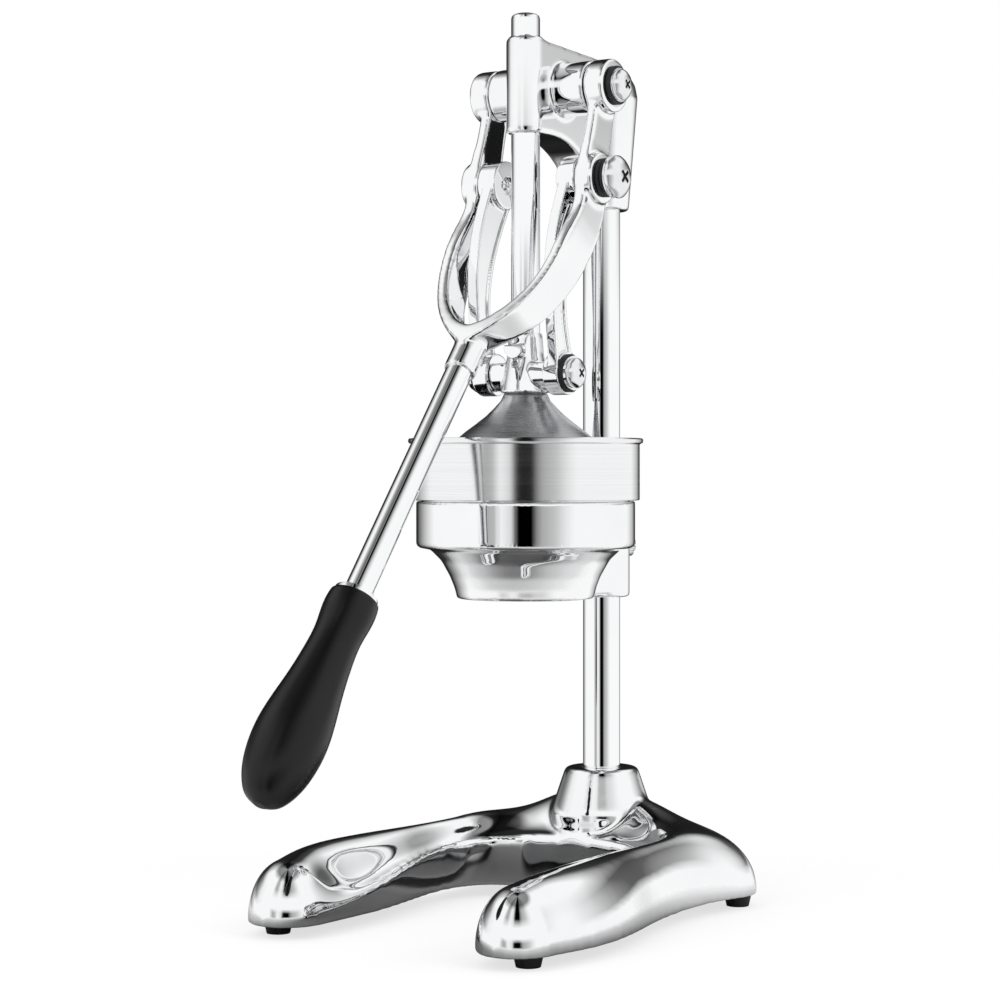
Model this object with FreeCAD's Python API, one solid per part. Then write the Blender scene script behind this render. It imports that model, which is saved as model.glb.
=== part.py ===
import FreeCAD, Part
import math
import os

Vector = FreeCAD.Vector

# Lever citrus juice press. Millimetres, Z up, the operator stands at -Y.
# Every piece is drawn about the ram axis, with z = 0 on the bench. save() then moves it
# along Y, so that the origin of the part lies under the middle of the whole press.
ram_axis_shift = 52.7

# Column, ram and guide
column_y = 69.8
column_radius = 9.5
column_wall = 1.6
column_bottom = 24.0
column_top = 408.0
ram_radius = 7.1
ram_top = 443.0
ram_bottom = 262.0
guide_radius = 9.5
guide_bottom = 384.0
guide_top = 432.0
fit_gap = 0.06
body_gap = 0.35

# Linkage pivots in the side view (y, z), lever down
top_pivot = (20.0, 407.0)
middle_pivot = (11.0, 361.0)
lower_pivot = (0.0, 266.0)
barrel_radius = 13.2
barrel_half = 27.7
arm_inner = 28.9
arm_outer = 35.8
arm_top_outer = 33.6
top_boss_face = 39.4
middle_boss_face = 38.8

# Handle: the axis runs down and forward from the fork
handle_angle = math.radians(52.3)
handle_offset = -5.4
socket_radius = 7.8
socket_end = 117.5
handle_rod_radius = 6.5
grip_start = 131.0
grip_length = 107.0

# Links
link_inner = 19.8
link_outer = 25.2
link_upper_boss_radius = 12.0
link_lower_boss_radius = 10.5
trunnion_radius = 8.4
link_recess = 1.2
link_rim = 2.1

# Cup and bowl
cup_rim_radius = 57.7
cup_rim_z = 234.5
cup_radius = 56.0
cup_step_z = 204.0
strainer_radius = 51.2
strainer_floor_z = 190.0
bowl_radius = 53.75
bowl_lip_z = 181.0
bowl_bottom_z = 156.0
bowl_wall = 2.2
outlet_radius = 7.0

# Base casting
base_underside = 5.6
base_wall = 3.6
hub_top = 67.0
hub_top_radius = 18.7
hub_radius = 25.8
hub_foot_z = 45.0
hub_bottom = 14.0
foot_x = 71.3
foot_front_y = -103.5
foot_rear_y = 85.0
foot_radius = 6.9


def point_on_lever(along, across):
    """Side-view point (y, z) measured from the middle pivot along and across the handle."""
    y = middle_pivot[0] - along * math.cos(handle_angle) - across * math.sin(handle_angle)
    z = middle_pivot[1] - along * math.sin(handle_angle) + across * math.cos(handle_angle)
    return (y, z)


def cylinder_x(radius, x_from, x_to, centre):
    """Cylinder along X about the side-view point centre = (y, z)."""
    start = Vector(x_from, centre[0], centre[1])
    return Part.makeCylinder(radius, x_to - x_from, start, Vector(1, 0, 0))


def cylinder_z(radius, z_from, z_to, y=0.0, x=0.0):
    return Part.makeCylinder(radius, z_to - z_from, Vector(x, y, z_from))


def smooth(points, tangents=None):
    """One smooth curve through the points."""
    curve = Part.BSplineCurve()
    if tangents:
        curve.interpolate(Points=points, InitialTangent=tangents[0], FinalTangent=tangents[1])
    else:
        curve.interpolate(points)
    return curve.toShape()


def polyline(points):
    return [Part.makeLine(a, b) for a, b in zip(points, points[1:])]


def revolve_z(profile, y=0.0):
    """Solid of revolution about the vertical line x = 0, y, from closed (radius, z) corners."""
    corners = [Vector(r, y, z) for r, z in profile]
    face = Part.Face(Part.Wire(polyline(corners + corners[:1])))
    return face.revolve(Vector(0, y, 0), Vector(0, 0, 1), 360)


def pan_head(radius, height, x_face, centre, side):
    """Domed screw head standing on the plane x = side * x_face, with a cross recess."""
    rim = height * 0.45
    corners = [Vector(0, 0, 0), Vector(radius, 0, 0), Vector(radius, 0, rim)]
    dome = Part.Arc(Vector(radius, 0, rim), Vector(radius * 0.72, 0, height * 0.86),
                    Vector(0, 0, height)).toShape()
    profile = Part.Wire(polyline(corners) + [dome, Part.makeLine(Vector(0, 0, height), corners[0])])
    head = Part.Face(profile).revolve(Vector(0, 0, 0), Vector(0, 0, 1), 360)
    slot_length = radius * 0.72
    slot_width = radius * 0.17
    depth = height * 0.45
    for angle in (45, 135):
        slot = Part.makeBox(slot_length, slot_width, depth + 1,
                            Vector(-slot_length / 2, -slot_width / 2, height - depth))
        slot.rotate(Vector(0, 0, 0), Vector(0, 0, 1), angle)
        head = head.cut(slot)
    head.rotate(Vector(0, 0, 0), Vector(0, 1, 0), 90 * side)
    head.translate(Vector(side * x_face, centre[0], centre[1]))
    return head


def on_side(shape, side):
    """A piece drawn for the right side, mirrored where the left one is wanted."""
    return shape if side > 0 else shape.mirror(Vector(0, 0, 0), Vector(1, 0, 0))


def ring_x(outer, inner, x_from, x_to, centre, side=1):
    """Washer between two distances from the middle plane, on one side of the press."""
    ring = cylinder_x(outer, x_from, x_to, centre)
    return on_side(ring.cut(cylinder_x(inner, x_from - 1, x_to + 1, centre)), side)


# Base casting: a horseshoe of smooth cross-sections from one front toe round the column
# hub to the other, hollow underneath, with a round toe at each end. Each row is one station
# of the right half: inner edge x, y; outer edge x, y; height of the inner wall; crest height;
# where the crest is; how much of a groove runs between the inner wall and the crest (0 to 1).
toe_centre = (65.5, -103.5)
edge_lip = 2.6
toe_step = 0.12
rise_steps = 5
fall_steps = 8
rail_stations = [
    (toe_centre[0] - 19.0, toe_centre[1], toe_centre[0] + 19.0, toe_centre[1], base_underside + edge_lip,
     36.0, 0.50, 0.0),
    (46.4, -89.0, 87.4, -88.0, 12.4, 38.6, 0.49, 0.45),
    (46.2, -73.0, 89.4, -69.5, 17.0, 39.8, 0.48, 0.85),
    (46.6, -56.0, 88.4, -50.0, 20.8, 40.2, 0.47, 1.0),
    (48.6, -39.0, 85.0, -30.5, 23.8, 40.3, 0.46, 1.0),
    (51.4, -22.0, 80.6, -11.5, 26.2, 40.2, 0.45, 1.0),
    (54.4, -4.0, 77.0, 9.0, 27.8, 40.0, 0.45, 1.0),
    (55.0, 13.0, 74.8, 32.0, 29.0, 40.2, 0.44, 1.0),
    (51.5, 26.0, 75.8, 54.0, 30.0, 41.0, 0.42, 1.0),
    (45.6, 34.2, 80.0, 71.0, 31.0, 41.4, 0.38, 1.0),
    (38.6, 38.0, 81.2, 84.6, 31.6, 41.6, 0.36, 1.0),
    (31.6, 40.8, 75.2, 95.0, 32.2, 42.4, 0.36, 1.0),
    (23.6, 42.1, 55.6, 97.4, 33.0, 46.0, 0.41, 1.0),
    (12.0, 43.2, 28.0, 97.6, 33.4, 53.0, 0.47, 1.0),
    (0.0, 43.4, 0.0, 97.6, 33.5, 54.5, 0.50, 1.0),
]


def rail_profile(inner, outer, form, inset):
    """Points over the top of one cross-section, from the inner wall to the outer edge."""
    wall_top, crest, crest_at, groove = form
    across = outer - inner
    across.normalize()
    inner = inner + across * inset
    outer = outer - across * inset
    wall_top = wall_top - inset
    crest = crest - inset
    lip = base_underside + edge_lip - 0.8 * inset

    def place(u, z):
        spot = inner + (outer - inner) * u
        return Vector(spot.x, spot.y, z)

    top = []
    for step in range(rise_steps):
        turn = math.pi / 2 * step / rise_steps
        share = 1 - math.cos(turn)
        rise = (1 - groove) * math.sin(turn) + groove * math.sin(math.pi / 2 * share) ** 2
        top.append(place(crest_at * share, wall_top + (crest - wall_top) * rise))
    for step in range(fall_steps + 1):
        turn = math.pi / 2 * step / fall_steps
        u = crest_at + (1 - crest_at) * math.sin(turn)
        top.append(place(u, lip + (crest - lip) * math.cos(turn)))
    return top


def drop(edge, bottom):
    """Vertical wall from an edge of the top skin down to the underside."""
    curve = edge.Curve.toBSpline(edge.FirstParameter, edge.LastParameter)
    for k, pole in enumerate(curve.getPoles()):
        curve.setPole(k + 1, Vector(pole.x, pole.y, bottom))
    return Part.makeRuledSurface(edge, curve.toShape())


def rail_solid(inset, first=0):
    """The horseshoe from its station number first on one side to the same on the other."""
    stations = rail_stations[first:]
    ordered = [(row, 1) for row in stations] + [(row, -1) for row in reversed(stations[:-1])]
    rows = []
    for (inner_x, inner_y, outer_x, outer_y, *form), mirror in ordered:
        inner = Vector(mirror * inner_x, inner_y, 0)
        outer = Vector(mirror * outer_x, outer_y, 0)
        rows.append(rail_profile(inner, outer, form, inset))
    skin = Part.BSplineSurface()
    skin.interpolate(rows)
    skin_face = skin.toShape()
    bottom = base_underside - (1.0 if inset else 0.0)
    walls = [drop(edge, bottom) for edge in skin_face.Edges]
    rim = [edge for wall in walls for edge in wall.Edges if edge.BoundBox.ZMax < bottom + 0.001]
    floor = Part.Face(Part.Wire(Part.__sortEdges__(rim)))
    shell = Part.makeCompound([skin_face, floor] + walls)
    shell.sewShape()
    return Part.Solid(shell.Shells[0])


def base_toe():
    """Round front end of the right rail: half of its first section, turned about its middle."""
    row = rail_stations[0]
    profile = rail_profile(Vector(row[0], row[1], 0), Vector(row[2], row[3], 0), row[4:], toe_step)
    middle = rise_steps
    curve = smooth(profile[middle:])
    foot_spot = Vector(profile[-1].x, row[3], base_underside)
    centre = Vector(toe_centre[0], toe_centre[1], base_underside)
    edges = [curve] + polyline([profile[-1], foot_spot, centre, profile[middle]])
    return Part.Face(Part.Wire(edges)).revolve(centre, Vector(0, 0, 1), 360)


def base_casting():
    horseshoe = rail_solid(0)
    toe = base_toe()
    rails = horseshoe.fuse([toe, toe.mirror(Vector(0, 0, 0), Vector(1, 0, 0))])
    hub = revolve_z([(0, hub_bottom), (hub_radius, hub_bottom), (hub_radius, hub_foot_z),
                     (hub_top_radius, hub_top - 1), (hub_top_radius - 1, hub_top), (0, hub_top)], column_y)
    base = rails.cut(rail_solid(base_wall, 2)).fuse(hub)
    for x in (-foot_x, foot_x):
        for y in (foot_front_y, foot_rear_y):
            boss = cylinder_z(foot_radius + 0.6, base_underside, 30.0, y, x).common(rails)
            base = base.fuse(boss)
            base = base.cut(cylinder_z(1.9, base_underside - 1, base_underside + 7, y, x))
    base = base.cut(cylinder_z(column_radius + fit_gap, column_bottom, hub_top + 1, column_y))
    base = base.cut(cylinder_z(5.2, 10.0, column_bottom + 1, column_y))
    return base


def foot(x, y):
    """Tapered rubber foot with a sunk hole for its screw."""
    body = Part.makeCone(foot_radius - 1.3, foot_radius, base_underside, Vector(x, y, 0))
    body = body.cut(cylinder_z(3.6, -1, 2.6, y, x))
    return body.cut(cylinder_z(1.9, 2, base_underside + 1, y, x))


def foot_screw(x, y):
    head = cylinder_z(3.3, 0.9, 2.6, y, x)
    return head.fuse(cylinder_z(1.85, 2.0, base_underside + 6.5, y, x))


def column_tube():
    tube = cylinder_z(column_radius, column_bottom, column_top, column_y)
    return tube.cut(cylinder_z(column_radius - column_wall, column_bottom - 1, column_top + 1, column_y))


def column_plug():
    """Threaded plug pressed into the foot of the column."""
    plug = cylinder_z(column_radius - column_wall, column_bottom, column_bottom + 28, column_y)
    return plug.cut(cylinder_z(4.2, column_bottom - 1, column_bottom + 22, column_y))


def column_bolt():
    """Hexagon bolt that pulls the column down into the base from below."""
    across_flats = 13.0
    corner = across_flats / 2 / math.cos(math.pi / 6)
    corners = [Vector(corner * math.cos(math.pi / 3 * k), column_y + corner * math.sin(math.pi / 3 * k), 6.8)
               for k in range(7)]
    head = Part.Face(Part.Wire(polyline(corners))).extrude(Vector(0, 0, 5.4))
    return head.fuse(cylinder_z(4.15, 12.0, column_bottom + 20, column_y))


def column_washer():
    return cylinder_z(10.0, 12.2, 14.0, column_y).cut(cylinder_z(4.3, 11, 15, column_y))


def head_casting():
    """Guide sleeve, web, pivot barrel and column socket in one casting."""
    web_half = guide_radius
    socket_top_radius = 18.5
    socket_bottom_radius = 14.0
    socket_bottom = 352.0
    web_rear = column_y
    arch_radius = 48.0
    top_front = Vector(0, 0, 430.0)
    top_rear = Vector(0, web_rear, 426.0)
    arch_start = Vector(0, guide_radius, guide_bottom)
    arch_middle = Vector(0, guide_radius + arch_radius * math.sin(math.pi / 4),
                         guide_bottom - arch_radius * (1 - math.cos(math.pi / 4)))
    arch_end = Vector(0, guide_radius + arch_radius, socket_bottom)
    arch_low = Vector(0, guide_radius + arch_radius, guide_bottom - arch_radius)
    arch = Part.Arc(arch_start, arch_middle, arch_low).toShape()
    outline = polyline([Vector(0, 0, guide_bottom), arch_start])
    outline += [arch]
    outline += polyline([arch_low, Vector(0, web_rear, guide_bottom - arch_radius), top_rear, top_front,
                         Vector(0, 0, guide_bottom)])
    web = Part.Face(Part.Wire(outline)).extrude(Vector(2 * web_half, 0, 0))
    web.translate(Vector(-web_half, 0, 0))
    web = web.cut(Part.makeBox(60, 60, 40, Vector(-30, arch_end.y - 6, socket_bottom - 40)))
    socket = revolve_z([(0, socket_bottom), (socket_bottom_radius - 1, socket_bottom),
                        (socket_bottom_radius, socket_bottom + 1), (socket_top_radius, 410.0),
                        (socket_top_radius - 1.2, 416.0), (socket_top_radius - 4.5, 422.0),
                        (socket_top_radius - 8.5, 426.0), (0, 426.0)], column_y)
    sleeve = revolve_z([(0, guide_bottom), (guide_radius - 0.8, guide_bottom),
                        (guide_radius, guide_bottom + 0.8), (guide_radius, guide_top - 2.2),
                        (guide_radius - 2.0, guide_top), (0, guide_top)])
    barrel = cylinder_x(barrel_radius, -barrel_half, barrel_half, top_pivot)
    head = web.fuse([socket, sleeve, barrel])
    for side in (-1, 1):
        root = Part.makeCone(barrel_radius + 1.0, barrel_radius, 1.8,
                             Vector(side * web_half, top_pivot[0], top_pivot[1]), Vector(side, 0, 0))
        head = head.fuse(root)
    head = head.cut(cylinder_z(ram_radius + fit_gap, guide_bottom - 1, guide_top + 1))
    head = head.cut(cylinder_z(column_radius + fit_gap, socket_bottom - 1, column_top + 0.3, column_y))
    head = head.cut(cylinder_x(5.0 + fit_gap, -barrel_half - 1, barrel_half + 1, top_pivot))
    for z in set_screw_heights:
        head = head.cut(Part.makeCylinder(3.0, 14, Vector(0, column_y + 8, z), Vector(0, 1, 0)))
    return head


set_screw_heights = (366.0, 392.0)


def set_screws():
    """Hexagon-socket screws that clamp the head on the column from behind."""
    screws = []
    for z in set_screw_heights:
        screw = Part.makeCylinder(2.95, 7.0, Vector(0, column_y + column_radius + 0.05, z), Vector(0, 1, 0))
        corners = [Vector(1.7 * math.cos(math.pi / 3 * k), column_y + 13.6, z + 1.7 * math.sin(math.pi / 3 * k))
                   for k in range(7)]
        drive = Part.Face(Part.Wire(polyline(corners))).extrude(Vector(0, 8, 0))
        screws.append(screw.cut(drive))
    return screws


def pivot_shaft():
    """Shaft pressed through the barrel; the fork turns on its ends, the right one tapped."""
    end = top_boss_face + body_gap
    shaft = cylinder_x(5.0, -end, end, top_pivot)
    return shaft.cut(cylinder_x(2.6, end - 16, end + 1, top_pivot))


washer_face = top_boss_face + body_gap


def top_rubber_washer():
    return ring_x(9.5, 2.8, washer_face, washer_face + 1.5, top_pivot)


def top_steel_washer():
    return ring_x(8.3, 2.8, washer_face + 1.5, washer_face + 2.5, top_pivot)


def top_screw():
    head = pan_head(7.4, 4.2, washer_face + 2.5, top_pivot, 1)
    return head.fuse(cylinder_x(2.55, washer_face - 14, washer_face + 3.0, top_pivot))


def fork_side_outline():
    """Side view of the fork: both pivot bosses, the arm between them and the lower sweep."""
    rear = [(16, -17.4), (30, -18.8), (48, -18.8), (64, -17.8), (80, -16.0), (94, -12.5), (106, -9.5)]
    front = [(106, 3.0), (94, 3.2), (76, 2.4), (56, 3.0), (36, 4.0), (16, 4.6)]

    def spots(pairs):
        return [Vector(0, *point_on_lever(along, across)) for along, across in pairs]

    radius = barrel_radius
    rear_top = Vector(0, top_pivot[0] + radius * 0.9, top_pivot[1] - radius * 0.43)
    front_top = Vector(0, top_pivot[0] - radius * 0.73, top_pivot[1] - radius * 0.68)
    crown = Vector(0, top_pivot[0], top_pivot[1] + radius)
    rear_curve = smooth([rear_top, Vector(0, 26.4, 387.0), Vector(0, 21.6, 363.0)] + spots(rear))
    front_curve = smooth(spots(front) + [Vector(0, -1.0, 361.0), Vector(0, 5.6, 381.5), front_top])
    end = Part.makeLine(spots(rear[-1:])[0], spots(front[:1])[0])
    crown_arc = Part.Arc(front_top, crown, rear_top).toShape()
    return Part.Face(Part.Wire([rear_curve, end, front_curve, crown_arc]))


def fork_front_outline():
    """The U of the fork, seen square to the handle: two straight arms and a pointed bow."""
    bow_start = 35.0
    inner_depth = 58.8
    outer_start = 25.0
    outer_depth = 79.5
    arms_up = -75.0

    def inner_half(along):
        share = min(1.0, (along - bow_start) / inner_depth)
        return arm_inner * (1 - share ** 2.5) ** 0.7

    def outer_half(along):
        share = min(1.0, (along - outer_start) / outer_depth)
        return arm_outer * (1 - share ** 2.8) ** 0.8

    def spot(x, along):
        y, z = point_on_lever(along, 0)
        return Vector(x, y, z)

    steps = 9
    inner = []
    outer = []
    for k in range(steps + 1):
        share = math.sin(math.pi / 2 * k / steps)
        inner.append((inner_half(bow_start + inner_depth * share), bow_start + inner_depth * share))
        outer.append((outer_half(outer_start + outer_depth * share), outer_start + outer_depth * share))
    inner_right = [spot(x, along) for x, along in inner]
    inner_left = [spot(-x, along) for x, along in reversed(inner[:-1])]
    outer_right = [spot(x, along) for x, along in outer]
    outer_left = [spot(-x, along) for x, along in reversed(outer[:-1])]
    down = spot(0, 1) - spot(0, 0)
    inner_bow = smooth(inner_right + inner_left, (down, down * -1))
    outer_bow = smooth(outer_right + outer_left, (down, down * -1))
    edges = [inner_bow, outer_bow]
    for side in (-1, 1):
        edges.append(Part.makeLine(spot(side * arm_inner, arms_up), spot(side * arm_inner, bow_start)))
        edges.append(Part.makeLine(spot(side * arm_top_outer, arms_up), spot(side * arm_outer, outer_start)))
        edges.append(Part.makeLine(spot(side * arm_inner, arms_up), spot(side * arm_top_outer, arms_up)))
    return Part.Face(Part.Wire(Part.__sortEdges__(edges)))


def across_lever(amount):
    """Vector of that length square to the handle, towards the front and up."""
    return Vector(0, -amount * math.sin(handle_angle), amount * math.cos(handle_angle))


def along_lever(amount):
    return Vector(0, -amount * math.cos(handle_angle), -amount * math.sin(handle_angle))


def lever_fork():
    side_view = fork_side_outline().extrude(Vector(2 * arm_outer + 4, 0, 0))
    side_view.translate(Vector(-arm_outer - 2, 0, 0))
    front_view = fork_front_outline().extrude(across_lever(140))
    front_view.translate(across_lever(-70))
    fork = side_view.common(front_view)
    for side in (-1, 1):
        top = cylinder_x(barrel_radius, barrel_half + 0.6, top_boss_face, top_pivot)
        middle = cylinder_x(12.6, arm_inner - 0.3, middle_boss_face, middle_pivot)
        for boss in (top, middle):
            fork = fork.fuse(boss if side > 0 else boss.mirror(Vector(0, 0, 0), Vector(1, 0, 0)))
    axis_start = Vector(0, *point_on_lever(96.0, handle_offset))
    socket = Part.makeCylinder(socket_radius, socket_end - 96.0, axis_start, along_lever(1))
    fork = fork.fuse(socket)
    rod_start = Vector(0, *point_on_lever(99.0, handle_offset))
    fork = fork.cut(Part.makeCylinder(handle_rod_radius, 40, rod_start, along_lever(1)))
    fork = fork.cut(cylinder_x(5.0 + fit_gap, -50, 50, top_pivot))
    return fork.cut(cylinder_x(4.0, -50, 50, middle_pivot))


def handle_rod():
    start = Vector(0, *point_on_lever(99.0, handle_offset))
    return Part.makeCylinder(handle_rod_radius, socket_end - 99.0 + grip_start + 78.0, start, along_lever(1))


def handle_grip():
    """Moulded grip: a short neck, a waist and a full round end."""
    stations = [(0.0, 11.6), (8.0, 12.1), (18.0, 11.2), (31.0, 11.6), (46.0, 13.3), (60.0, 15.5),
                (73.0, 16.7), (85.0, 15.9), (94.0, 13.8), (100.6, 10.8), (104.6, 7.2), (106.6, 3.4),
                (grip_length, 0.0)]
    curve = [Vector(radius, 0, along) for along, radius in stations]
    outline = smooth(curve, (Vector(0.2, 0, 1), Vector(-1, 0, 0)))
    back = polyline([Vector(0, 0, grip_length), Vector(0, 0, 0), Vector(11.6, 0, 0)])
    grip = Part.Face(Part.Wire([outline] + back)).revolve(Vector(0, 0, 0), Vector(0, 0, 1), 360)
    grip = grip.cut(Part.makeCylinder(handle_rod_radius, 78.0))
    turn = FreeCAD.Rotation(Vector(0, 0, 1), along_lever(1))
    start = Vector(0, *point_on_lever(socket_end + grip_start, handle_offset))
    grip.Placement = FreeCAD.Placement(start, turn)
    return grip


def grip_ring():
    """Thin collar that closes the mouth of the grip."""
    start = Vector(0, *point_on_lever(socket_end + grip_start - 3.0, handle_offset))
    ring = Part.makeCylinder(10.4, 3.0, start, along_lever(1))
    return ring.cut(Part.makeCylinder(handle_rod_radius, 5.0, start - along_lever(1), along_lever(1)))


def link_outline(inset):
    """Side view of a link: a bowed bar that narrows from the upper eye to the lower one."""
    front = [(1.0, 363.0), (-5.6, 349.0), (-11.0, 334.0), (-13.6, 319.0), (-13.4, 303.0), (-12.0, 286.0),
             (-10.0, 269.0)]
    rear = [(4.4, 272.0), (0.6, 284.0), (-1.6, 298.0), (0.2, 315.0), (6.2, 332.0), (15.4, 349.5)]
    front_points = [Vector(0, y + inset, z) for y, z in front]
    rear_points = [Vector(0, y - inset, z) for y, z in rear]
    edges = [smooth(front_points), Part.makeLine(front_points[-1], rear_points[0]), smooth(rear_points),
             Part.makeLine(rear_points[-1], front_points[0])]
    return Part.Wire(edges)


def link(side):
    bar = Part.Face(link_outline(0)).extrude(Vector(link_outer - link_inner, 0, 0))
    bar.translate(Vector(link_inner, 0, 0))
    panel = Part.Face(link_outline(link_rim))
    for x in (link_inner - 1, link_outer - link_recess):
        pocket = panel.extrude(Vector(link_recess + 1, 0, 0))
        pocket.translate(Vector(x, 0, 0))
        bar = bar.cut(pocket)
    upper_eye = cylinder_x(link_upper_boss_radius, 18.2, arm_inner - 0.3 - body_gap, middle_pivot)
    lower_eye = cylinder_x(link_lower_boss_radius, 16.6, link_outer, lower_pivot)
    shape = bar.fuse([upper_eye, lower_eye])
    shape = shape.cut(cylinder_x(4.0 + fit_gap, 10, 40, middle_pivot))
    shape = shape.cut(cylinder_x(4.0, 10, 40, lower_pivot))
    return on_side(shape, side)


middle_washer_end = middle_boss_face + 5.2


def middle_bolt_right():
    """Shoulder bolt with a large round head: fixed in the fork, the link turns on it."""
    head = pan_head(10.4, 6.4, middle_washer_end, middle_pivot, 1)
    return head.fuse(cylinder_x(4.0, 17.2, middle_washer_end + 0.5, middle_pivot))


def middle_bolt_left():
    """Headless shoulder bolt, flush with the fork, with a socket for a hexagon key."""
    bolt = cylinder_x(4.0, 17.2, middle_boss_face, middle_pivot)
    socket_corner = 2.3
    corners = [Vector(middle_boss_face - 4.0, middle_pivot[0] + socket_corner * math.cos(math.pi / 3 * k),
                      middle_pivot[1] + socket_corner * math.sin(math.pi / 3 * k)) for k in range(7)]
    socket = Part.Face(Part.Wire(polyline(corners))).extrude(Vector(6, 0, 0))
    return on_side(bolt.cut(socket), -1)


def middle_spacer():
    """Black ridged spacer between the fork and the bolt head."""
    body = cylinder_x(8.2, middle_boss_face, middle_washer_end, middle_pivot)
    for k in range(2):
        start = middle_boss_face + 0.5 + 2.6 * k
        body = body.fuse(cylinder_x(9.5, start, start + 1.4, middle_pivot))
    return body.cut(cylinder_x(4.0, 30, 60, middle_pivot))


def lower_bolt(side):
    head = pan_head(7.3, 4.0, link_outer + 3.4, lower_pivot, side)
    shank = cylinder_x(4.0, 16.7, link_outer + 3.9, lower_pivot)
    return head.fuse(on_side(shank, side))


def lower_rubber_washer(side):
    return ring_x(9.3, 4.0, link_outer, link_outer + 1.6, lower_pivot, side)


def lower_steel_washer(side):
    return ring_x(8.4, 4.0, link_outer + 1.6, link_outer + 3.4, lower_pivot, side)


def ram_rod():
    rod = revolve_z([(0, ram_bottom), (ram_radius, ram_bottom), (ram_radius, ram_top - 2.6),
                     (ram_radius - 0.9, ram_top - 0.9), (ram_radius - 2.8, ram_top), (0, ram_top)])
    rod = rod.cut(cylinder_z(2.4, ram_bottom - 1, ram_bottom + 7))
    return rod.cut(Part.makeCylinder(1.5, 40, Vector(0, -20, 271.0), Vector(0, 1, 0)))


def ram_crosshead():
    """Hub on the foot of the ram, with a trunnion out to each link."""
    hub = revolve_z([(0, 257.0), (12.3, 257.0), (11.6, 262.0), (8.9, 276.0), (8.4, 284.0), (8.0, 286.0),
                     (0, 286.0)])
    trunnions = cylinder_x(trunnion_radius, -16.25, 16.25, lower_pivot)
    trunnions = trunnions.common(Part.makeBox(40, 30, 14.6, Vector(-20, -15, 256.9)))
    head = hub.fuse(trunnions)
    shield = Part.makeCylinder(5.6, 3.0, Vector(0, -8.2, 279.0), Vector(0, -1, 0))
    shield = shield.common(Part.makeBox(20, 20, 10.0, Vector(-10, -20, 270.0)))
    head = head.fuse(shield)
    head = head.cut(cylinder_z(ram_radius, ram_bottom, 300))
    head = head.cut(cylinder_z(2.4, 250, 270))
    head = head.cut(cylinder_x(3.2, -20, -13.0, lower_pivot))
    head = head.cut(cylinder_x(3.2, 13.0, 20, lower_pivot))
    return head.cut(Part.makeCylinder(1.5, 40, Vector(0, -20, 271.0), Vector(0, 1, 0)))


def crosshead_pin():
    """Cross pin that holds the crosshead on the ram."""
    return Part.makeCylinder(1.5, 17.4, Vector(0, -8.7, 271.0), Vector(0, 1, 0))


def press_bell():
    """Pressed steel bell that pushes the fruit down over the juicing cone."""
    wall = 1.5
    outside = [(2.6, 256.9), (10.4, 256.9), (12.4, 252.7), (15.5, 249.3), (19.5, 245.5), (24.3, 241.7),
               (29.5, 237.8), (43.0, 226.2), (46.0, 221.0), (46.6, 201.0)]
    inside = [(46.6 - wall, 201.0), (46.0 - wall, 220.4), (42.3 - wall, 224.9), (28.8 - wall, 236.3),
              (11.6 - wall, 251.2), (2.6, 255.0)]
    return revolve_z(outside + inside)


def bell_screw():
    """Screw and large washer under the bell; it threads up into the ram."""
    washer = revolve_z([(0, 249.6), (8.4, 249.6), (8.4, 251.2), (0, 251.2)])
    head = cylinder_z(4.6, 246.6, 249.8)
    return washer.fuse([head, cylinder_z(2.35, 251.0, ram_bottom + 5)])


def strainer_cup():
    """Steel cup with a rolled rim, a step that sits on the bowl and a slotted floor."""
    wall = 1.1
    step = cup_step_z + 0.2
    outside = [(20.0, strainer_floor_z - wall), (strainer_radius - 3, strainer_floor_z - wall),
               (strainer_radius, strainer_floor_z + 2), (strainer_radius, step), (cup_radius, step),
               (cup_radius, cup_rim_z - 3.0), (cup_rim_radius, cup_rim_z - 2.4), (cup_rim_radius, cup_rim_z)]
    inside = [(cup_radius - wall, cup_rim_z), (cup_radius - wall, step + wall),
              (strainer_radius - wall, step + wall), (strainer_radius - wall, strainer_floor_z + 2.6),
              (strainer_radius - 3.6, strainer_floor_z), (20.0, strainer_floor_z)]
    cup = revolve_z(outside + inside)
    slots = 20
    slot = Part.makeBox(10.0, 2.6, 8.0, Vector(37.5, -1.3, strainer_floor_z - 5))
    for k in range(slots):
        turned = slot.copy()
        turned.rotate(Vector(0, 0, 0), Vector(0, 0, 1), 360.0 * k / slots)
        cup = cup.cut(turned)
    return cup


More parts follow.
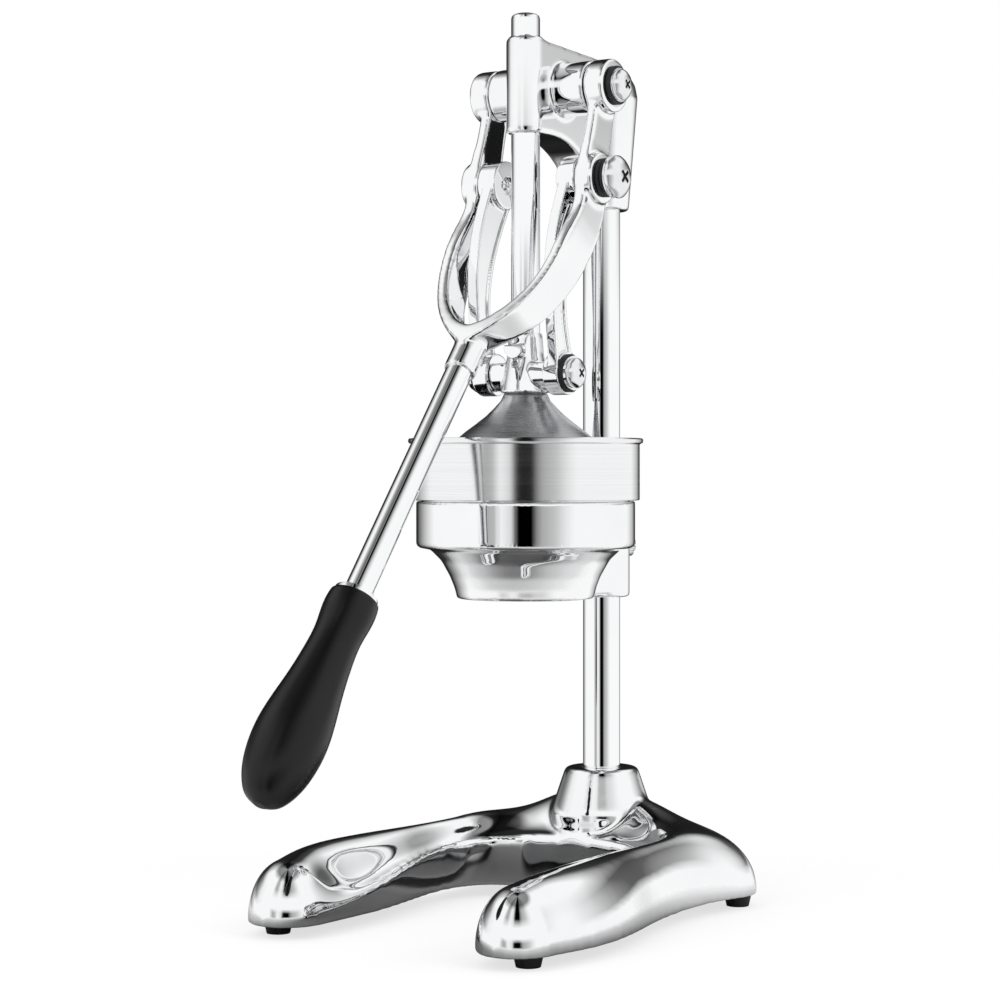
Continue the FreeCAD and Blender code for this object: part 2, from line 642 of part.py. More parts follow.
def juicing_cone():
    """Ribbed dome on the strainer floor: a spun core with ribs that run up to the tip."""
    floor = strainer_floor_z + 0.1
    height = 36.0
    core_radius = 31.0
    steps = 7
    curve = []
    for k in range(steps + 1):
        turn = math.pi / 2 * k / steps
        curve.append(Vector(core_radius * math.cos(turn), 0, floor + height * math.sin(turn) ** 0.9))
    outline = smooth(curve)
    back = polyline([Vector(0, 0, floor + height), Vector(0, 0, floor), Vector(core_radius, 0, floor)])
    core = Part.Face(Part.Wire([outline] + back)).revolve(Vector(0, 0, 0), Vector(0, 0, 1), 360)
    rib_curve = [Vector(point.x * 1.08 + 0.6 * math.cos(math.pi / 2 * k / steps), 0, point.z + 1.2)
                 for k, point in enumerate(curve[:-1])]
    rib_curve.append(Vector(0, 0, floor + height + 1.6))
    rib_outline = smooth(rib_curve)
    rib_back = polyline([Vector(0, 0, floor + height + 1.6), Vector(0, 0, floor),
                         Vector(rib_curve[0].x, 0, floor), rib_curve[0]])
    rib = Part.Face(Part.Wire([rib_outline] + rib_back)).extrude(Vector(0, 2.4, 0))
    rib.translate(Vector(0, -1.2, 0))
    ribs = 10
    dome = core
    for k in range(ribs):
        turned = rib.copy()
        turned.rotate(Vector(0, 0, 0), Vector(0, 0, 1), 360.0 * k / ribs)
        dome = dome.fuse(turned)
    hollow = Part.makeCone(26.0, 6.0, 27.0, Vector(0, 0, floor - 1))
    return dome.cut(hollow)


def juice_bowl():
    """Cast bowl: collar band, funnel with a spout, and the arm to the column clamp."""
    top = cup_step_z
    seat = strainer_floor_z - 6.0
    outside = [(bowl_radius, top), (bowl_radius, bowl_lip_z + 1.4), (bowl_radius - 1.4, bowl_lip_z),
               (46.8, bowl_lip_z - 1.0), (41.4, 174.6), (37.2, 167.0), (34.8, 161.0), (33.6, bowl_bottom_z)]
    inside = [(outlet_radius, bowl_bottom_z), (outlet_radius, bowl_bottom_z + 2.6), (30.0, bowl_bottom_z + 5.0),
              (33.6, 165.0), (38.6, 175.2), (44.0, seat - 0.6), (bowl_radius - bowl_wall, seat),
              (bowl_radius - bowl_wall, top)]
    bowl = revolve_z(outside + inside)
    inner_space = revolve_z([(0, bowl_bottom_z + 1.4), (30.6, bowl_bottom_z + 4.0), (34.6, 165.0), (39.6, 175.2),
                             (45.0, seat - 1.6), (bowl_radius - bowl_wall + 0.5, seat - 1.0),
                             (bowl_radius - bowl_wall + 0.5, top + 1), (0, top + 1)])
    collar_radius = 14.4
    arm = Part.makeBox(26.0, column_y - 26.0, 45.0, Vector(-13.0, 26.0, bowl_bottom_z - 1.0))
    arm = arm.makeFillet(5.0, [edge for edge in arm.Edges if edge_along(edge, 1) and edge.BoundBox.ZMax < 180])
    collar = revolve_z([(0, bowl_bottom_z - 2.0), (collar_radius - 1, bowl_bottom_z - 2.0),
                        (collar_radius, bowl_bottom_z - 1.0), (collar_radius, top - 1.0),
                        (collar_radius - 1, top), (0, top)], column_y)
    holder = arm.fuse(collar).cut(inner_space)
    bowl = bowl.fuse(holder)
    bowl = bowl.cut(cylinder_z(column_radius + fit_gap, bowl_bottom_z - 5, top + 5, column_y))
    return bowl.cut(Part.makeCylinder(3.0, 14, Vector(0, column_y + 8, clamp_height), Vector(0, 1, 0)))


clamp_height = 180.0


def edge_along(edge, axis):
    """True where a straight edge runs along the given axis (0 = X, 1 = Y, 2 = Z)."""
    box = edge.BoundBox
    spans = (box.XLength, box.YLength, box.ZLength)
    return spans[axis] > 0.1 and all(spans[k] < 0.01 for k in range(3) if k != axis)


def bowl_clamp_screw():
    """Knurled thumb screw behind the column that holds the bowl at its height."""
    start = column_y + column_radius + 0.05
    shank = Part.makeCylinder(2.95, 8.5, Vector(0, start, clamp_height), Vector(0, 1, 0))
    knob = Part.makeCylinder(7.0, 7.0, Vector(0, start + 6.0, clamp_height), Vector(0, 1, 0))
    notches = 12
    for k in range(notches):
        angle = 2 * math.pi * k / notches
        spot = Vector(7.4 * math.cos(angle), start + 5.0, clamp_height + 7.4 * math.sin(angle))
        knob = knob.cut(Part.makeCylinder(0.9, 9.0, spot, Vector(0, 1, 0)))
    return knob.fuse(shank)


def save(name, shape):
    """Write one node; a list of solids becomes one node of separate solids."""
    solid = Part.makeCompound(shape) if isinstance(shape, list) else shape
    solids = solid.Solids
    if len(solids) == 1:
        solid = solids[0]
    solid = solid.copy()
    solid.translate(Vector(0, ram_axis_shift, 0))
    solid.exportStep("parts/" + name + ".step")
    box = solid.BoundBox
    print(name, "solids", len(solids), "valid", solid.isValid(),
          "y %.1f..%.1f z %.1f..%.1f" % (box.YMin, box.YMax, box.ZMin, box.ZMax))


def main():
    os.makedirs("parts", exist_ok=True)
    save("base_casting", base_casting())
    for row, y in (("front", foot_front_y), ("rear", foot_rear_y)):
        for column, x in (("left", -foot_x), ("right", foot_x)):
            save("foot_" + row + "_" + column, foot(x, y))
    save("foot_screws", [foot_screw(x, y) for x in (-foot_x, foot_x) for y in (foot_front_y, foot_rear_y)])
    save("column_tube", column_tube())
    save("column_plug", column_plug())
    save("column_bolt", column_bolt())
    save("column_washer", column_washer())
    save("head_casting", head_casting())
    save("head_set_screws", set_screws())
    save("pivot_shaft", pivot_shaft())
    save("top_rubber_washer", top_rubber_washer())
    save("top_steel_washer", top_steel_washer())
    save("top_screw", top_screw())
    save("lever_fork", lever_fork())
    save("handle_rod", handle_rod())
    save("handle_grip", handle_grip())
    save("grip_ring", grip_ring())
    for name, side in (("left", -1), ("right", 1)):
        save("link_" + name, link(side))
        save("lower_bolt_" + name, lower_bolt(side))
        save("lower_rubber_washer_" + name, lower_rubber_washer(side))
        save("lower_steel_washer_" + name, lower_steel_washer(side))
    save("middle_bolt_left", middle_bolt_left())
    save("middle_bolt_right", middle_bolt_right())
    save("middle_spacer", middle_spacer())
    save("ram_rod", ram_rod())
    save("ram_crosshead", ram_crosshead())
    save("crosshead_pin", crosshead_pin())
    save("press_bell", press_bell())
    save("bell_screw", bell_screw())
    save("strainer_cup", strainer_cup())
    save("juicing_cone", juicing_cone())
    save("juice_bowl", juice_bowl())
    save("bowl_clamp_screw", bowl_clamp_screw())


main()
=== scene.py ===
import math

import bmesh
import bpy
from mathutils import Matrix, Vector


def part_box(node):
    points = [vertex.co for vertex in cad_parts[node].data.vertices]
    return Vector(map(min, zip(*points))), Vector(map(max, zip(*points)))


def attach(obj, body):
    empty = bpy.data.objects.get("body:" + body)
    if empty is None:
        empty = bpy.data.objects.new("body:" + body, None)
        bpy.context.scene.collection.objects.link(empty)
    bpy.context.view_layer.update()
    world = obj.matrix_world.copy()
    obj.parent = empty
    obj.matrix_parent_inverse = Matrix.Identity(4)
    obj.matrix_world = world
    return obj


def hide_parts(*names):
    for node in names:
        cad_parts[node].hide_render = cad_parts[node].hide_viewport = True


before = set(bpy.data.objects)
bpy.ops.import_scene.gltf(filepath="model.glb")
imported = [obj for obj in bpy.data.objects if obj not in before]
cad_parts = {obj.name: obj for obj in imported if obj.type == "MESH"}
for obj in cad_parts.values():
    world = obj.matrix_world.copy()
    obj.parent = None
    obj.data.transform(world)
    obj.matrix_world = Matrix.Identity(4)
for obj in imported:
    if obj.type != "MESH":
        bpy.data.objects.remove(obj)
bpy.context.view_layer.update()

# Studio
# A level camera with a long lens looks from the front right, as in the photograph. The room
# is white at the sides, with a black flag at the camera that draws the stripes on the chrome
# and a wide dark wall behind, which shades the tops of the rails. The floor fades out.
press_y = (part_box("ram_rod")[0][1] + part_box("ram_rod")[1][1]) / 2
camera_turn = math.radians(34.6)
camera_data = bpy.data.cameras.new("camera")
camera_data.lens = 90
camera_data.sensor_width = 36
camera_data.shift_y = -0.03
camera = bpy.data.objects.new("camera", camera_data)
camera.location = (0.687, press_y - 1.018, 0.219)
camera.rotation_euler = (math.radians(90), 0, camera_turn)
bpy.context.scene.collection.objects.link(camera)
bpy.context.scene.camera = camera
bpy.context.scene.view_settings.view_transform = "Standard"


def linear(code, alpha=1.0):
    """Linear colour from an sRGB hex code."""
    channels = []
    for start in (0, 2, 4):
        value = int(code[start:start + 2], 16) / 255
        channels.append(value / 12.92 if value <= 0.04045 else ((value + 0.055) / 1.055) ** 2.4)
    return (*channels, alpha)


def add_node(tree, kind, settings=None, links=None):
    """A new node; settings are its properties or input values, links go from sockets to its inputs."""
    node = tree.nodes.new(kind)
    for name, value in (settings or {}).items():
        if isinstance(name, str) and hasattr(node, name):
            setattr(node, name, value)
        else:
            node.inputs[name].default_value = value
    for name, source in (links or {}).items():
        tree.links.new(source, node.inputs[name])
    return node


def grey_ramp(tree, source, stops):
    """Brightness along a value, from (position, brightness) stops."""
    node = add_node(tree, "ShaderNodeValToRGB", None, {"Fac": source})
    ramp = node.color_ramp
    while len(ramp.elements) < len(stops):
        ramp.elements.new(1.0)
    for element, (position, brightness) in zip(ramp.elements, stops):
        element.position = position
        element.color = (brightness, brightness, brightness, 1)
    return node.outputs["Color"]


room = bpy.data.worlds.new("studio_room")
room.use_nodes = True
room_tree = room.node_tree
room_tree.nodes.clear()
heading = add_node(room_tree, "ShaderNodeTexCoord").outputs["Generated"]
to_camera = Vector((math.sin(camera_turn), -math.cos(camera_turn), 0))
to_right = Vector((math.cos(camera_turn), math.sin(camera_turn), 0))
ahead = add_node(room_tree, "ShaderNodeVectorMath", {"operation": "DOT_PRODUCT", 1: to_camera}, {0: heading})
aside = add_node(room_tree, "ShaderNodeVectorMath", {"operation": "DOT_PRODUCT", 1: to_right}, {0: heading})
bearing = add_node(room_tree, "ShaderNodeMath", {"operation": "ARCTAN2"},
                   {0: aside.outputs["Value"], 1: ahead.outputs["Value"]})
degrees = add_node(room_tree, "ShaderNodeMapRange", {1: -math.pi, 2: math.pi}, {0: bearing.outputs[0]})
around = [(-180, 0.01), (-158, 0.03), (-142, 0.3), (-112, 1.0), (-52, 1.0), (-42, 0.42), (-34, 0.5),
          (-26, 0.95), (-16, 0.75), (-11, 0.12), (-8, 0.0), (6, 0.0), (10, 0.2), (16, 0.42), (30, 0.58),
          (42, 0.85), (52, 1.0), (132, 1.0), (150, 0.5), (160, 0.06), (180, 0.01)]
flags = grey_ramp(room_tree, degrees.outputs[0], [((turn + 180) / 360, grey) for turn, grey in around])
wall = [(-180, 0.01), (-140, 0.03), (-118, 0.3), (-98, 0.9), (-80, 1.0), (90, 1.0), (108, 0.7), (135, 0.12),
        (160, 0.02), (180, 0.01)]
behind = grey_ramp(room_tree, degrees.outputs[0], [((turn + 180) / 360, grey) for turn, grey in wall])
height = add_node(room_tree, "ShaderNodeSeparateXYZ", None, {0: heading})
rise = add_node(room_tree, "ShaderNodeMapRange", {1: -1.0, 2: 1.0}, {0: height.outputs["Z"]})
raised = grey_ramp(room_tree, rise.outputs[0], [(0.53, 0.0), (0.58, 1.0), (0.7, 1.0), (0.8, 0.0)])
walled = add_node(room_tree, "ShaderNodeMixRGB", None, {0: raised, 1: flags, 2: behind})
floor_to_ceiling = [(0.0, 0.3), (0.12, 0.45), (0.2, 1.0), (0.9, 1.0), (0.95, 0.25), (1.0, 0.3)]
ceiling = grey_ramp(room_tree, rise.outputs[0], floor_to_ceiling)
studio = add_node(room_tree, "ShaderNodeMixRGB", {"blend_type": "MULTIPLY", "Fac": 1.0},
                  {1: walled.outputs[0], 2: ceiling})
path = add_node(room_tree, "ShaderNodeLightPath")
seen = add_node(room_tree, "ShaderNodeMixRGB", {1: (0.85, 0.85, 0.85, 1)},
                {0: path.outputs["Is Glossy Ray"], 2: studio.outputs[0]})
shown = add_node(room_tree, "ShaderNodeMixRGB", {2: (1, 1, 1, 1)},
                 {0: path.outputs["Is Camera Ray"], 1: seen.outputs[0]})
room_light = add_node(room_tree, "ShaderNodeBackground", None, {"Color": shown.outputs[0]})
add_node(room_tree, "ShaderNodeOutputWorld", None, {"Surface": room_light.outputs[0]})
bpy.context.scene.world = room

floor_mesh = bpy.data.meshes.new("floor")
floor_mesh.from_pydata([(-1, -1, 0), (1, -1, 0), (1, 1, 0), (-1, 1, 0)], [], [(0, 1, 2, 3)])
floor = bpy.data.objects.new("floor", floor_mesh)
bpy.context.scene.collection.objects.link(floor)
floor_paint = bpy.data.materials.new("white_floor_paint")
floor_paint.use_nodes = True
floor_tree = floor_paint.node_tree
floor_shader = floor_tree.nodes["Principled BSDF"]
floor_shader.inputs["Roughness"].default_value = 0.9
floor_shader.inputs["Specular IOR Level"].default_value = 0.0
floor_spot = add_node(floor_tree, "ShaderNodeTexCoord").outputs["Object"]
from_middle = add_node(floor_tree, "ShaderNodeVectorMath", {"operation": "LENGTH"}, {0: floor_spot})
reach = from_middle.outputs["Value"]
# Painted shade: in reflections the floor is dark near the press and lighter further out, standing in for the
# shade under it.
painted_shade_under_press = grey_ramp(floor_tree, reach, [(0.0, 0.1), (0.08, 0.16), (0.14, 0.5), (0.22, 0.75), (0.34, 0.88)])
floor_path = add_node(floor_tree, "ShaderNodeLightPath")
floor_tone = add_node(floor_tree, "ShaderNodeMixRGB", {1: linear("FEFEFE")},
                      {0: floor_path.outputs["Is Glossy Ray"], 2: painted_shade_under_press})
floor_tree.links.new(floor_tone.outputs[0], floor_shader.inputs["Base Color"])
fade_start = 0.2
fade_end = 0.34
edge = grey_ramp(floor_tree, reach, [(0.0, 1.0), (fade_start, 1.0), (fade_end, 0.0)])
away = add_node(floor_tree, "ShaderNodeBsdfTransparent")
glow = add_node(floor_tree, "ShaderNodeEmission")
white_share = 0.7
lifted = add_node(floor_tree, "ShaderNodeMath", {"operation": "MULTIPLY", 1: white_share},
                  {0: floor_path.outputs["Is Camera Ray"]})
surface = add_node(floor_tree, "ShaderNodeMixShader", None,
                   {0: lifted.outputs[0], 1: floor_shader.outputs[0], 2: glow.outputs[0]})
faded = add_node(floor_tree, "ShaderNodeMixShader", None,
                 {0: edge, 1: away.outputs[0], 2: surface.outputs[0]})
floor_tree.links.new(faded.outputs[0], floor_tree.nodes["Material Output"].inputs["Surface"])
floor_mesh.materials.append(floor_paint)

for name, side, energy in (("left_softbox", -0.9, 5.5), ("right_softbox", 1.0, 4.5)):
    lamp_data = bpy.data.lights.new(name, "AREA")
    lamp_data.shape = "RECTANGLE"
    lamp_data.size = 0.6
    lamp_data.size_y = 1.0
    lamp_data.energy = energy
    lamp = bpy.data.objects.new(name, lamp_data)
    lamp.location = to_camera * 0.7 + to_right * side + Vector((0, 0, 1.0))
    lamp.rotation_euler = (Vector((0, 0, 0.1)) - lamp.location).to_track_quat("-Z", "Y").to_euler()
    lamp.visible_glossy = False
    bpy.context.scene.collection.objects.link(lamp)


# Base casting
# One hollow casting shaped like a horseshoe, polished and chromed, with a hub for the
# column. Its edges and the root of the hub are well rounded, as they leave the mould.
def finish_material(name, shader_settings):
    """A Principled material with constant settings, its shader and its Object coordinates."""
    material = bpy.data.materials.new(name)
    material.use_nodes = True
    shader = material.node_tree.nodes["Principled BSDF"]
    for socket, value in shader_settings.items():
        shader.inputs[socket].default_value = value
    return material, shader, add_node(material.node_tree, "ShaderNodeTexCoord").outputs["Object"]


def chrome_plate(name, tint, dull, worn_tint, patch):
    """Polished chrome: a mirror with faint wiping marks that only show as soft haze."""
    material, shader, spot = finish_material(name, {"Metallic": 1.0})
    tree = material.node_tree
    haze = add_node(tree, "ShaderNodeTexNoise", {"Scale": 1 / patch, "Detail": 3.0}, {"Vector": spot})
    gloss = add_node(tree, "ShaderNodeMapRange", {1: 0.3, 2: 0.7, 3: dull * 0.6, 4: dull},
                     {0: haze.outputs["Fac"]})
    colour = add_node(tree, "ShaderNodeMixRGB", {1: linear(tint), 2: linear(worn_tint)},
                      {0: haze.outputs["Fac"]})
    tree.links.new(gloss.outputs[0], shader.inputs["Roughness"])
    tree.links.new(colour.outputs[0], shader.inputs["Base Color"])
    return material


def new_shape(name, mesh):
    shape = bpy.data.objects.new(name, mesh)
    bpy.context.scene.collection.objects.link(shape)
    return shape


def merged_copy(node):
    """Copy of a CAD node's mesh with its loose triangles joined."""
    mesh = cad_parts[node].data.copy()
    mesh.materials.clear()
    work = bmesh.new()
    work.from_mesh(mesh)
    bmesh.ops.remove_doubles(work, verts=work.verts, dist=2e-6)
    work.to_mesh(mesh)
    work.free()
    return new_shape(node + "_finished", mesh)


def keep_result(shape):
    """The evaluated mesh of an object takes the place of its modifiers."""
    result = bpy.data.meshes.new_from_object(shape.evaluated_get(bpy.context.evaluated_depsgraph_get()))
    shape.modifiers.clear()
    shape.data = result
    return shape


def cast_form(node, grain, passes):
    """A casting as it comes from polishing: the CAD form with every edge and corner rounded."""
    shape = merged_copy(node)
    skin = shape.modifiers.new("skin", "REMESH")
    skin.mode = "VOXEL"
    skin.voxel_size = grain
    polish = shape.modifiers.new("polish", "SMOOTH")
    polish.factor = 0.5
    polish.iterations = passes
    keep_result(shape)
    shape.data.shade_smooth()
    return shape


def dress(shape, material, body, *nodes):
    """Give a finished piece its material, and let it stand for its CAD nodes."""
    shape.data.materials.clear()
    shape.data.materials.append(material)
    for polygon in shape.data.polygons:
        polygon.material_index = 0
    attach(shape, body)
    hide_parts(*nodes)
    return shape


casting_chrome = chrome_plate("polished_chrome_on_casting", "FBFBFC", 0.04, "F1F2F3", 0.03)
dress(cast_form("base_casting", 0.0012, 16), casting_chrome, "stand", "base_casting")

# Head, fork, links and crosshead
# Castings that carry the pivots. They are chromed like the base, with softened edges.
dress(cast_form("head_casting", 0.0008, 8), casting_chrome, "stand", "head_casting")
dress(cast_form("lever_fork", 0.0007, 34), casting_chrome, "lever", "lever_fork")
for side in ("left", "right"):
    dress(cast_form("link_" + side, 0.0004, 3), casting_chrome, "link_" + side, "link_" + side)
dress(cast_form("ram_crosshead", 0.0005, 6), casting_chrome, "ram", "ram_crosshead")


# Column, ram and handle rod
# Drawn steel tube and bars, ground and chromed, brighter than the castings. Each is turned
# about its own axis, so that the stripes on it run straight.
def turned(name, profile, foot, axis=(0, 0, 1), segments=192, crease=28):
    """A piece turned on a lathe: closed (radius, height) corners in mm round an axis from its foot point."""
    axis = Vector(axis).normalized()
    first = axis.orthogonal().normalized()
    second = axis.cross(first)
    points = []
    for k in range(segments):
        turn = 2 * math.pi * k / segments
        out = first * math.cos(turn) + second * math.sin(turn)
        points += [Vector(foot) + out * (radius / 1000) + axis * (rise / 1000) for radius, rise in profile]
    corners = len(profile)
    faces = []
    for k in range(segments):
        after = (k + 1) % segments
        for j in range(corners):
            nxt = (j + 1) % corners
            faces.append((k * corners + j, after * corners + j, after * corners + nxt, k * corners + nxt))
    mesh = bpy.data.meshes.new(name)
    mesh.from_pydata(points, [], faces)
    work = bmesh.new()
    work.from_mesh(mesh)
    bmesh.ops.remove_doubles(work, verts=work.verts, dist=1e-6)
    bmesh.ops.recalc_face_normals(work, faces=work.faces)
    work.to_mesh(mesh)
    work.free()
    mesh.shade_smooth()
    mesh.set_sharp_from_angle(angle=math.radians(crease))
    return new_shape(name, mesh)


press_axis = (0, press_y, 0)
column_back = 0.0698
column_axis = (0, press_y + column_back, 0)
bar_chrome = chrome_plate("polished_chrome_on_steel_bar", "FCFCFD", 0.02, "F4F5F6", 0.02)
tube_bore = 7.9
tube_radius = 9.5
tube_foot = 24
tube_top = 408
dress(turned("column_tube_finished", [(tube_bore, tube_foot), (tube_radius, tube_foot),
                                      (tube_radius, tube_top), (tube_bore, tube_top)], column_axis),
      bar_chrome, "stand", "column_tube")
dress(turned("ram_rod_finished",
             [(2.4, 262), (7.1, 262), (7.1, 440.2), (6.95, 441.2), (6.5, 442.0), (5.6, 442.6), (4.3, 443.0),
              (0.0, 443.0), (0.0, 269.0), (2.4, 269.0)], press_axis, crease=35),
      bar_chrome, "ram", "ram_rod")
handle_turn = math.radians(52.3)
middle_pivot = Vector((0, press_y + 0.011, 0.361))
rod_offset = 0.0054
rod_radius = 6.5
handle_axis = Vector((0, -math.cos(handle_turn), -math.sin(handle_turn)))
handle_foot = middle_pivot + Vector((0, math.sin(handle_turn), -math.cos(handle_turn))) * rod_offset
dress(turned("handle_rod_finished", [(0.0, 99.0), (rod_radius, 99.0), (rod_radius, 327.0), (0.0, 327.0)],
             handle_foot, handle_axis),
      bar_chrome, "lever", "handle_rod")
dress(turned("grip_ring_finished", [(rod_radius, 245.5), (9.6, 245.5), (10.3, 245.9), (10.4, 246.5),
                                    (10.4, 248.5), (rod_radius, 248.5)], handle_foot, handle_axis),
      bar_chrome, "lever", "grip_ring")

# Grip
# Moulded black plastic with a satin skin, pressed on the end of the handle rod.
grip_plastic, grip_shader, grip_spot = finish_material(
    "moulded_satin_black_plastic", {"Roughness": 0.3, "Specular IOR Level": 0.3})
grip_tree = grip_plastic.node_tree
grains_per_metre = 1100.0
grip_grain = add_node(grip_tree, "ShaderNodeTexNoise", {"Scale": grains_per_metre, "Detail": 2.0},
                      {"Vector": grip_spot})
grip_tone = add_node(grip_tree, "ShaderNodeMixRGB", {1: linear("060607"), 2: linear("0C0C0D")},
                     {0: grip_grain.outputs["Fac"]})
grip_bump = add_node(grip_tree, "ShaderNodeBump", {"Strength": 0.05, "Distance": 0.0002},
                     {"Height": grip_grain.outputs["Fac"]})
grip_tree.links.new(grip_tone.outputs[0], grip_shader.inputs["Base Color"])
grip_tree.links.new(grip_bump.outputs[0], grip_shader.inputs["Normal"])


def machined_form(node, crease):
    """A turned or pressed piece with smooth faces and true edges."""
    shape = merged_copy(node)
    shape.data.shade_smooth()
    shape.data.set_sharp_from_angle(angle=math.radians(crease))
    return shape


dress(machined_form("handle_grip", 40), grip_plastic, "lever", "handle_grip")


# Cup and bell
# Spun stainless steel with a brushed grain that runs round the axis, fine on the cup and
# coarse and duller on the bell. The cup has a rolled rim, a step and a slotted floor.
def brushed_steel(name, tint, dark_tint, dull, line_width):
    """Steel brushed on a lathe: rings of fine lines round the press axis."""
    material, shader, spot = finish_material(name, {"Metallic": 1.0})
    tree = material.node_tree
    centred = add_node(tree, "ShaderNodeMapping", {"Location": (0, -press_y, 0)}, {"Vector": spot})
    rings = add_node(tree, "ShaderNodeMapping", {"Scale": (6, 6, 1 / line_width)},
                     {"Vector": centred.outputs[0]})
    lines = add_node(tree, "ShaderNodeTexNoise", {"Scale": 1.0, "Detail": 4.0}, {"Vector": rings.outputs[0]})
    colour = add_node(tree, "ShaderNodeMixRGB", {1: linear(dark_tint), 2: linear(tint)},
                      {0: lines.outputs["Fac"]})
    gloss = add_node(tree, "ShaderNodeMapRange", {1: 0.2, 2: 0.8, 3: dull * 0.8, 4: dull * 1.2},
                     {0: lines.outputs["Fac"]})
    tree.links.new(colour.outputs[0], shader.inputs["Base Color"])
    tree.links.new(gloss.outputs[0], shader.inputs["Roughness"])
    return material


def ring_of_copies():
    """Geometry nodes: copies of one piece set at even turns round the vertical axis through its origin."""
    tree = bpy.data.node_groups.new("ring_of_copies", "GeometryNodeTree")
    for name, kind in (("Piece", "NodeSocketGeometry"), ("Copies", "NodeSocketInt"),
                       ("Finish", "NodeSocketMaterial")):
        tree.interface.new_socket(name, in_out="INPUT", socket_type=kind)
    tree.interface.new_socket("Ring", in_out="OUTPUT", socket_type="NodeSocketGeometry")
    given = tree.nodes.new("NodeGroupInput").outputs
    points = add_node(tree, "GeometryNodePoints", None, {"Count": given["Copies"]})
    number = add_node(tree, "GeometryNodeInputIndex")
    share = add_node(tree, "ShaderNodeMath", {"operation": "DIVIDE"},
                     {0: number.outputs[0], 1: given["Copies"]})
    turn = add_node(tree, "ShaderNodeMath", {"operation": "MULTIPLY", 1: 2 * math.pi}, {0: share.outputs[0]})
    spin = add_node(tree, "ShaderNodeCombineXYZ", None, {"Z": turn.outputs[0]})
    set_round = add_node(tree, "GeometryNodeInstanceOnPoints", None,
                         {"Points": points.outputs[0], "Instance": given["Piece"],
                          "Rotation": spin.outputs[0]})
    real = add_node(tree, "GeometryNodeRealizeInstances", None, {0: set_round.outputs[0]})
    dressed = add_node(tree, "GeometryNodeSetMaterial", None,
                       {"Geometry": real.outputs[0], "Material": given["Finish"]})
    tree.links.new(dressed.outputs[0], tree.nodes.new("NodeGroupOutput").inputs["Ring"])
    return tree


ring_tree = ring_of_copies()


def set_in_ring(shape, copies, material, centre_y):
    """Repeat a piece, drawn about the origin, round the vertical line x = 0, y = centre_y."""
    repeat = shape.modifiers.new("ring", "NODES")
    repeat.node_group = ring_tree
    for item in ring_tree.interface.items_tree:
        if item.name == "Copies":
            repeat[item.identifier] = copies
        if item.name == "Finish":
            repeat[item.identifier] = material
    keep_result(shape)
    for vertex in shape.data.vertices:
        vertex.co.y += centre_y
    return shape


def block(name, low, high):
    """Plain block from its low to its high corner, in mm."""
    mesh = bpy.data.meshes.new(name)
    work = bmesh.new()
    bmesh.ops.create_cube(work, size=1.0)
    for vertex in work.verts:
        vertex.co = [(a + b) / 2000 + side * (b - a) / 1000 for a, b, side in zip(low, high, vertex.co)]
    work.to_mesh(mesh)
    work.free()
    return new_shape(name, mesh)


cup_steel = brushed_steel("brushed_stainless_steel", "FAFAFB", "E6E7E8", 0.12, 0.0005)
cup = turned("strainer_cup_finished",
             [(20.0, 188.9), (48.4, 188.9), (50.2, 190.0), (51.2, 192.0), (51.2, 204.2), (55.6, 204.2),
              (56.0, 204.6), (56.0, 231.4), (56.6, 231.9), (57.4, 232.2), (57.7, 232.9), (57.7, 233.8),
              (57.3, 234.4), (56.6, 234.5), (55.4, 234.5), (54.9, 234.0), (54.9, 205.7), (54.5, 205.3),
              (50.1, 205.3), (50.1, 192.6), (49.2, 190.9), (47.6, 190.0), (20.0, 190.0)],
             press_axis, segments=256)
slot_count = 20
slot_block = block("slots", (37.5, -1.3, 185.0), (47.5, 1.3, 193.0))
slots = set_in_ring(slot_block, slot_count, cup_steel, press_y)
cut = cup.modifiers.new("slots", "BOOLEAN")
cut.operation = "DIFFERENCE"
cut.object = slots
keep_result(cup)
bpy.data.objects.remove(slots)
dress(cup, cup_steel, "stand", "strainer_cup")
bell_steel = brushed_steel("coarse_brushed_stainless_steel", "DCDDDF", "B9BABC", 0.27, 0.0007)
dress(turned("press_bell_finished",
             [(2.7, 256.9), (10.2, 256.9), (10.6, 256.5), (12.3, 252.8), (15.4, 249.4), (19.4, 245.5),
              (24.2, 241.7), (29.4, 237.9), (42.6, 226.6), (44.8, 224.0), (46.0, 221.0), (46.5, 215.0),
              (46.6, 201.4), (46.3, 201.0), (45.4, 201.0), (45.1, 201.4), (45.0, 214.6), (44.5, 220.4),
              (43.2, 222.8), (40.8, 224.9), (27.4, 236.2), (10.4, 251.2), (2.7, 254.9)],
             press_axis, segments=256, crease=40), bell_steel, "ram", "press_bell")

# Juicing cone
# Cast metal dome left satin from the mould, with ten ribs that run up to the tip.
cone_metal = brushed_steel("satin_cast_metal", "C9CACC", "AFB0B2", 0.3, 0.002)
dress(machined_form("juicing_cone", 40), cone_metal, "stand", "juicing_cone")

# Juice bowl
# Chromed bowl whose bright band carries the cup, with a funnel under it and an arm round
# the column. It is one casting, polished, with softened edges.
dress(cast_form("juice_bowl", 0.0009, 6), casting_chrome, "stand", "juice_bowl")

# Screws and steel washers
# Bright plated screws, the silver washers under them and the clamp screw. Painted shade, a dark
# colour on the faces of the cross recess of each head, makes the cross read as a dark star.
screw_chrome = chrome_plate("bright_plated_screw_steel", "F4F5F6", 0.05, "E2E3E5", 0.004)
# Painted shade: a dark colour on the recess faces stands in for the shade inside the cross recess.
recess_painted_shade, painted_shade_shader, painted_shade_spot = finish_material("painted_shade_in_recess", {"Roughness": 0.7})
painted_shade_tree = recess_painted_shade.node_tree
painted_shade_grain = add_node(painted_shade_tree, "ShaderNodeTexNoise", {"Scale": 2500.0}, {"Vector": painted_shade_spot})
painted_shade_tone = add_node(painted_shade_tree, "ShaderNodeMixRGB", {1: linear("0C0C0D"), 2: linear("202022")},
                      {0: painted_shade_grain.outputs["Fac"]})
painted_shade_tree.links.new(painted_shade_tone.outputs[0], painted_shade_shader.inputs["Base Color"])


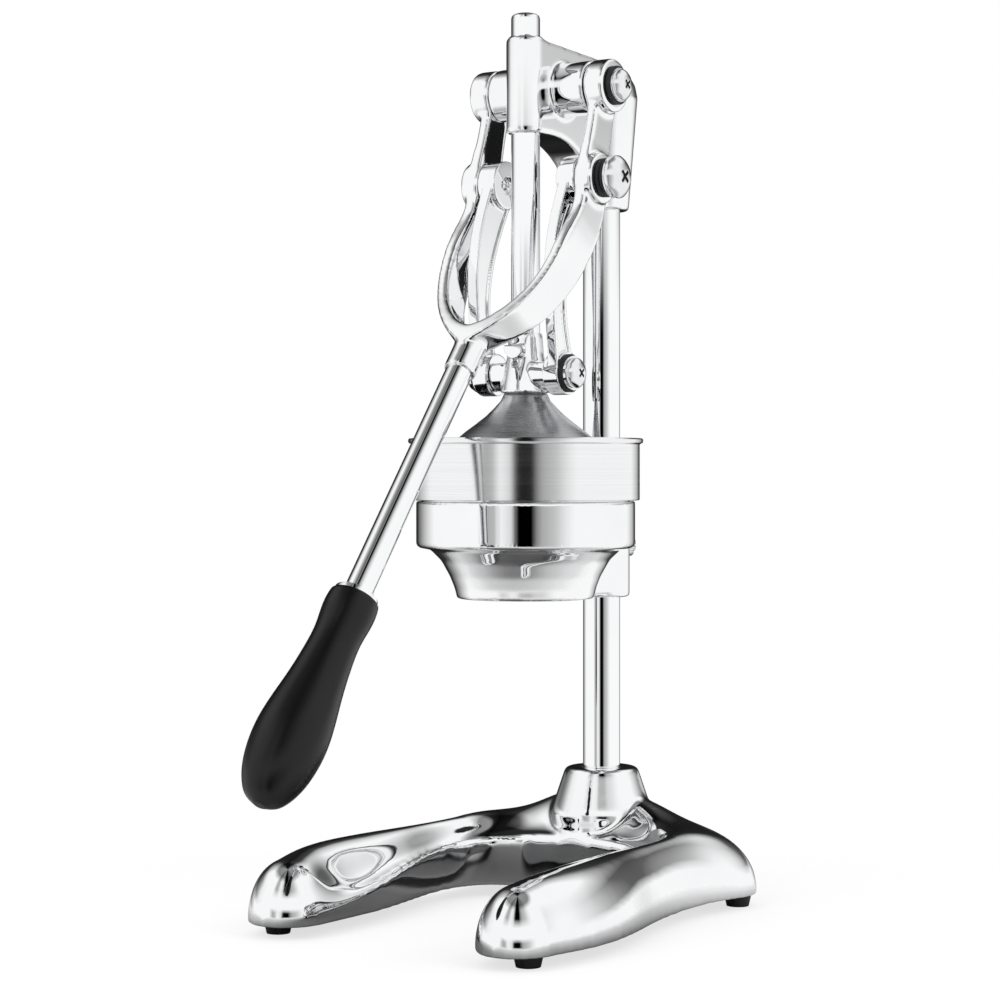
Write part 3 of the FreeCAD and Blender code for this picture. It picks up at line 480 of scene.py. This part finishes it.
def darken_recess(shape, head_radius, head_height):
    """The faces of the cross recess take the painted shade; the head's outside stays bright."""
    mesh = shape.data
    mesh.materials.append(recess_painted_shade)
    top = max(abs(vertex.co.x) for vertex in mesh.vertices)
    rim = [vertex.co for vertex in mesh.vertices if abs(vertex.co.x) > top - 0.4 * head_height]
    middle_y = (min(co.y for co in rim) + max(co.y for co in rim)) / 2
    middle_z = (min(co.z for co in rim) + max(co.z for co in rim)) / 2
    for polygon in mesh.polygons:
        spot = polygon.center
        near = math.hypot(spot.y - middle_y, spot.z - middle_z) < 0.4 * head_radius
        sunk = top - 0.6 * head_height < abs(spot.x) < top - 0.3 * head_height
        if near and (sunk or (abs(polygon.normal.x) < 0.6 and abs(spot.x) > top - 0.6 * head_height)):
            polygon.material_index = 1


head_sizes = {"top_screw": (0.0074, 0.0042), "middle_bolt_right": (0.0104, 0.0064),
              "lower_bolt_left": (0.0073, 0.004), "lower_bolt_right": (0.0073, 0.004)}
for node, body in (("top_screw", "stand"), ("top_steel_washer", "stand"), ("bowl_clamp_screw", "stand"),
                   ("middle_bolt_left", "lever"), ("middle_bolt_right", "lever"),
                   ("lower_bolt_left", "link_left"), ("lower_bolt_right", "link_right"),
                   ("lower_steel_washer_left", "link_left"), ("lower_steel_washer_right", "link_right")):
    fastener = dress(machined_form(node, 35), screw_chrome, body, node)
    if node in head_sizes:
        darken_recess(fastener, *head_sizes[node])

# Hidden steel
# Plain turned steel inside the press: shaft, plug, column bolt, pins and small screws.
plain_steel = brushed_steel("plain_turned_steel", "A9AAAC", "8C8D8F", 0.3, 0.0008)
for node, body in (("column_plug", "stand"), ("column_bolt", "stand"), ("column_washer", "stand"),
                   ("foot_screws", "stand"), ("head_set_screws", "stand"), ("pivot_shaft", "stand"),
                   ("crosshead_pin", "ram"), ("bell_screw", "ram")):
    dress(machined_form(node, 35), plain_steel, body, node)

# Rubber
# Black rubber feet, washers and the ridged spacer, dull and slightly dusty.
black_rubber, rubber_shader, rubber_spot = finish_material("moulded_black_rubber", {"Roughness": 0.55})
rubber_tree = black_rubber.node_tree
rubber_dust = add_node(rubber_tree, "ShaderNodeTexNoise", {"Scale": 300.0, "Detail": 3.0},
                       {"Vector": rubber_spot})
rubber_tone = add_node(rubber_tree, "ShaderNodeMixRGB", {1: linear("0B0B0C"), 2: linear("19191A")},
                       {0: rubber_dust.outputs["Fac"]})
rubber_tree.links.new(rubber_tone.outputs[0], rubber_shader.inputs["Base Color"])
for node, body in (("foot_front_left", "stand"), ("foot_front_right", "stand"), ("foot_rear_left", "stand"),
                   ("foot_rear_right", "stand"), ("top_rubber_washer", "stand"),
                   ("lower_rubber_washer_left", "link_left"), ("lower_rubber_washer_right", "link_right"),
                   ("middle_spacer", "lever")):
    dress(machined_form(node, 35), black_rubber, body, node)
